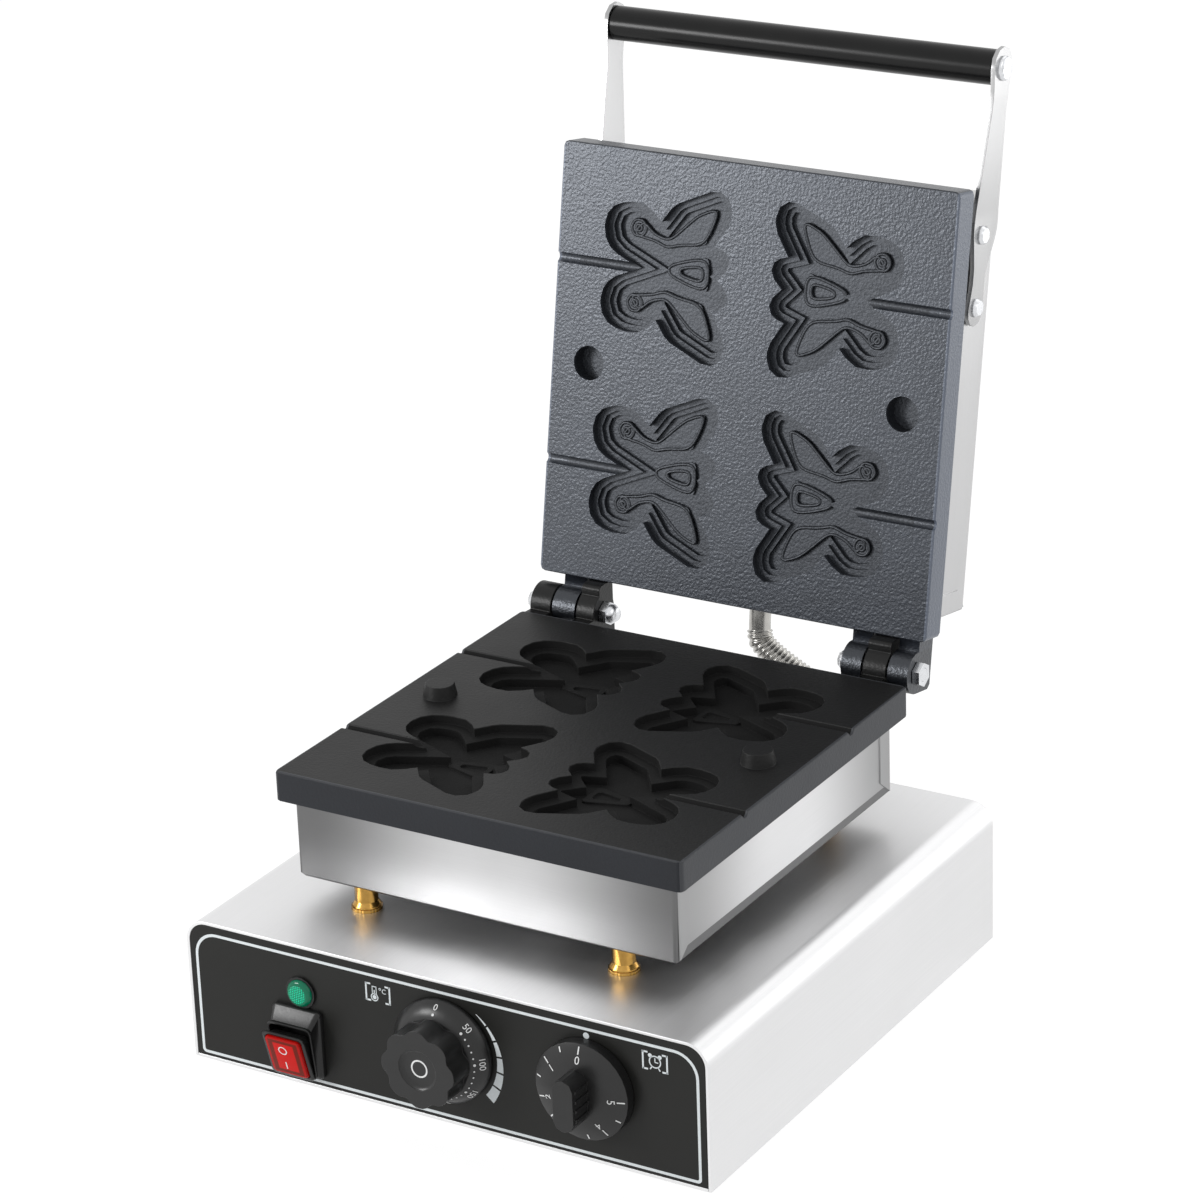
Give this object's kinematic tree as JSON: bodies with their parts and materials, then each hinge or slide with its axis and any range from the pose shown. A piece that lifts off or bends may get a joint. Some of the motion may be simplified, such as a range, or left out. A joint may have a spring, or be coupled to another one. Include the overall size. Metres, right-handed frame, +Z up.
{
  "type": "mini pancake maker",
  "caption": "Countertop cooker with a hinged lid: butterfly mould plates on a box base with a dial thermostat, a timer, a rocker switch and a signal lamp",
  "frame": {"origin": "the floor under the middle of the base, with the lid open", "axes": "+Z up, front towards -Y, the user's right towards +X"},
  "size_m": [0.26, 0.3629, 0.4028],
  "materials": {
    "stainless": "brushed and polished",
    "handle_steel": "polished",
    "plate_coating": "orange-peel non-stick coating",
    "black_panel": "satin black",
    "zinc": "bright zinc plated",
    "brass": "satin",
    "rubber": "matt",
    "grip_plastic": "gloss",
    "knob_plastic": "fine satin",
    "frame_plastic": "gloss",
    "red_plastic": "clear gloss red",
    "green_lens": "dimpled clear green",
    "white_ceramic": "matt",
    "element_sheath": "heat-stained",
    "clamp_steel": "plain rolled"
  },
  "bodies": {
    "base": {"base_housing": "stainless", "front_panel": "black_panel", "back_panel": "stainless", "bottom_plate": "stainless", "bottom_screws": "zinc", "rubber_feet": "rubber", "foot_screws": "zinc", "foot_nuts": "zinc", "support_posts": "brass", "post_bolts": "zinc", "post_nuts": "zinc", "wire_sleeve": "rubber", "lower_pan": "stainless", "lower_plate": "plate_coating", "lower_element": "element_sheath", "lower_clamp": "clamp_steel", "lower_clamp_screws": "zinc", "hinge_bolts": "zinc", "hinge_nuts": "zinc", "lamp_bezel": "frame_plastic", "lamp_lens": "green_lens", "lamp_body": "knob_plastic", "switch_bezel": "frame_plastic", "switch_body": "knob_plastic", "thermostat_body": "clamp_steel", "timer_body": "clamp_steel", "terminal_block": "white_ceramic", "mains_gland": "frame_plastic", "conduit_gland": "zinc", "steel_conduit": "zinc"},
    "lid": {"upper_pan": "stainless", "upper_plate": "plate_coating", "upper_element": "element_sheath", "upper_clamp": "clamp_steel", "upper_clamp_screws": "zinc", "handle_arm_left": "handle_steel", "handle_arm_right": "handle_steel", "handle_grip": "grip_plastic", "grip_bolts": "zinc", "arm_screws": "zinc", "conduit_ferrule": "zinc"},
    "switch_rocker": {"rocker": "red_plastic"},
    "thermostat_control": {"thermostat_knob": "knob_plastic", "thermostat_shaft": "zinc"},
    "timer_control": {"timer_knob": "knob_plastic", "timer_shaft": "zinc"}
  },
  "joints": [
    {"name": "lid_hinge", "type": "hinge", "parent": "base", "child": "lid", "pos_m": [0, 0.11836, 0.13575], "axis": [1, 0, 0], "range_deg": [0, 100.3], "deforming": ["steel_conduit"]},
    {"name": "rocker_tilt", "type": "hinge", "parent": "base", "child": "switch_rocker", "pos_m": [-0.0705, -0.1364, 0.0285], "axis": [1, 0, 0], "range_deg": [-16, 0]},
    {"name": "thermostat_turn", "type": "hinge", "parent": "base", "child": "thermostat_control", "pos_m": [0.0022, -0.1304, 0.0414], "axis": [0, 1, 0], "range_deg": [0, 270]},
    {"name": "timer_turn", "type": "hinge", "parent": "base", "child": "timer_control", "pos_m": [0.0725, -0.1304, 0.0414], "axis": [0, -1, 0], "range_deg": [0, 300]}
  ]
}
